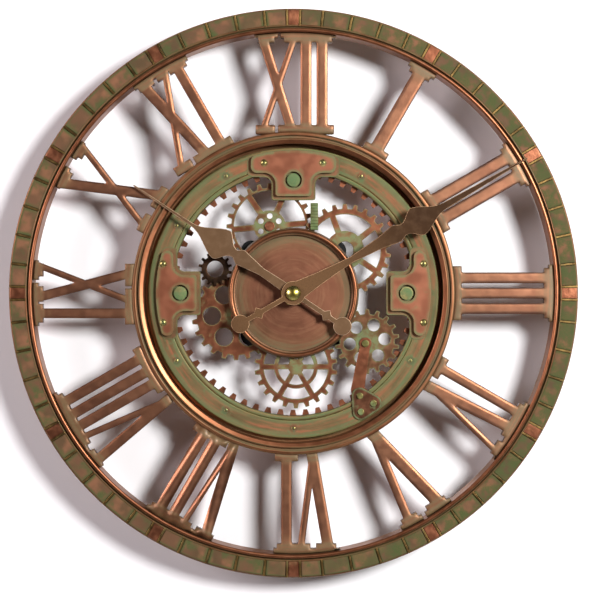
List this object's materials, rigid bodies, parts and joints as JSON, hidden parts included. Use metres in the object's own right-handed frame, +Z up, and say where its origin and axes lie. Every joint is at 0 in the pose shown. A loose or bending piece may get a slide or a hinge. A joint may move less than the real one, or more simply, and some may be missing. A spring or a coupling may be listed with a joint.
{
  "type": "skeleton wall clock",
  "caption": "Round pierced wall clock: copper frame with radial Roman numerals, decorative gears, spade hands and a quartz movement behind a centre dish.",
  "frame": {"origin": "where the hand axis meets the wall, at the rear face of the movement case", "axes": "+Z up, +Y into the wall, the face looks along -Y"},
  "size_m": [0.3, 0.0334, 0.3],
  "materials": {
    "antique_copper": "worn antique copper finish, polished on the beads",
    "patina_tile": "olive patina with reddish centres",
    "gilt_ridge": "worn gilt edges",
    "red_copper": "reddish copper",
    "verdigris": "green patina over copper",
    "bright_verdigris": "bright green patina",
    "pale_brass": "dull brass",
    "gear_copper": "copper with dark hollows",
    "dark_bronze": "dark bronze",
    "washer_rubber": "matt black",
    "brass_nut": "polished brass",
    "case_plastic": "fine moulded texture",
    "board_green": "solder mask",
    "coil_copper": "enamelled copper wire",
    "soft_iron": "stamped sheet",
    "contact_steel": "nickel plated",
    "cell_jacket": "plain wrapped cell with no lettering",
    "magnet_grey": "sintered magnet",
    "wheel_plastic": "white acetal",
    "knob_plastic": "moulded",
    "hour_hand_bronze": "light bronze finish with bright edges",
    "minute_hand_bronze": "dark bronze finish with bright edges",
    "hanger_steel": "zinc plated"
  },
  "bodies": {
    "frame": {"outer_rim": "antique_copper", "rim_tiles": "patina_tile", "rim_ridges": "gilt_ridge", "hour_markers": "red_copper", "numeral_1": "antique_copper", "numeral_2": "antique_copper", "numeral_3": "antique_copper", "numeral_4": "antique_copper", "numeral_5": "antique_copper", "numeral_6": "antique_copper", "numeral_7": "antique_copper", "numeral_8": "antique_copper", "numeral_9": "antique_copper", "numeral_10": "antique_copper", "numeral_11": "antique_copper", "numeral_12": "antique_copper", "inner_bezel": "antique_copper", "ring_plate": "verdigris", "internal_ring_gear": "verdigris", "bracket_top": "antique_copper", "bracket_left": "antique_copper", "bracket_right": "antique_copper", "bracket_bases": "verdigris", "bracket_bosses": "bright_verdigris", "bracket_screws": "pale_brass", "ring_screws": "bright_verdigris", "gear_upper_right": "gear_copper", "gear_upper_left": "gear_copper", "gear_left": "dark_bronze", "gear_left_small": "dark_bronze", "gear_lower_right": "gear_copper", "wheel_bottom": "gear_copper", "gear_rivets": "red_copper", "worm_strip": "bright_verdigris", "lever_arm": "dark_bronze", "lever_lug": "verdigris", "lever_rivets": "pale_brass", "centre_dish": "antique_copper", "dish_bezel": "antique_copper", "rubber_washer": "washer_rubber", "mounting_nut": "brass_nut", "movement_front_case": "case_plastic", "movement_rear_cover": "case_plastic", "circuit_board": "board_green", "drive_coil": "coil_copper", "stator": "soft_iron", "battery_contacts": "contact_steel", "hanger_plate": "hanger_steel"},
    "minute_hand": {"centre_wheel": "wheel_plastic", "minute_hand": "minute_hand_bronze", "hand_nut": "brass_nut"},
    "hour_hand": {"hour_wheel": "wheel_plastic", "hour_hand": "hour_hand_bronze"},
    "minute_wheel": {"minute_wheel": "wheel_plastic", "setting_knob": "knob_plastic"},
    "third_wheel": {"third_wheel": "wheel_plastic"},
    "seconds_wheel": {"seconds_wheel": "wheel_plastic"},
    "intermediate_wheel": {"intermediate_wheel": "wheel_plastic"},
    "rotor": {"rotor": "magnet_grey"},
    "battery": {"battery_cell": "cell_jacket"}
  },
  "joints": [
    {"name": "minute_hand_turn", "type": "hinge", "parent": "frame", "child": "minute_hand", "pos_m": [0, 0, 0], "axis": [0, 1, 0], "continuous": true},
    {"name": "hour_hand_turn", "type": "hinge", "parent": "frame", "child": "hour_hand", "pos_m": [0, 0, 0], "axis": [0, 1, 0], "continuous": true},
    {"name": "minute_wheel_turn", "type": "hinge", "parent": "frame", "child": "minute_wheel", "pos_m": [0.0094, 0, -0.002], "axis": [0, 1, 0], "continuous": true},
    {"name": "third_wheel_turn", "type": "hinge", "parent": "frame", "child": "third_wheel", "pos_m": [-0.0064, 0, 0.0064], "axis": [0, 1, 0], "continuous": true},
    {"name": "seconds_wheel_turn", "type": "hinge", "parent": "frame", "child": "seconds_wheel", "pos_m": [-0.0136, 0, 0.0084], "axis": [0, 1, 0], "continuous": true},
    {"name": "intermediate_wheel_turn", "type": "hinge", "parent": "frame", "child": "intermediate_wheel", "pos_m": [-0.0121, 0, 0.0142], "axis": [0, 1, 0], "continuous": true},
    {"name": "rotor_turn", "type": "hinge", "parent": "frame", "child": "rotor", "pos_m": [-0.0071, 0, 0.0148], "axis": [0, 1, 0], "continuous": true},
    {"name": "battery_slide", "type": "slide", "parent": "frame", "child": "battery", "axis": [0, 1, 0], "range_m": [0, 0.02]}
  ],
  "couplings": [
    {"joint": "hour_hand_turn", "follows": "minute_hand_turn", "ratio": 0.083333},
    {"joint": "minute_wheel_turn", "follows": "minute_hand_turn", "ratio": -0.33333},
    {"joint": "third_wheel_turn", "follows": "minute_hand_turn", "ratio": -8},
    {"joint": "seconds_wheel_turn", "follows": "minute_hand_turn", "ratio": 60},
    {"joint": "intermediate_wheel_turn", "follows": "minute_hand_turn", "ratio": -300},
    {"joint": "rotor_turn", "follows": "minute_hand_turn", "ratio": 1800}
  ]
}
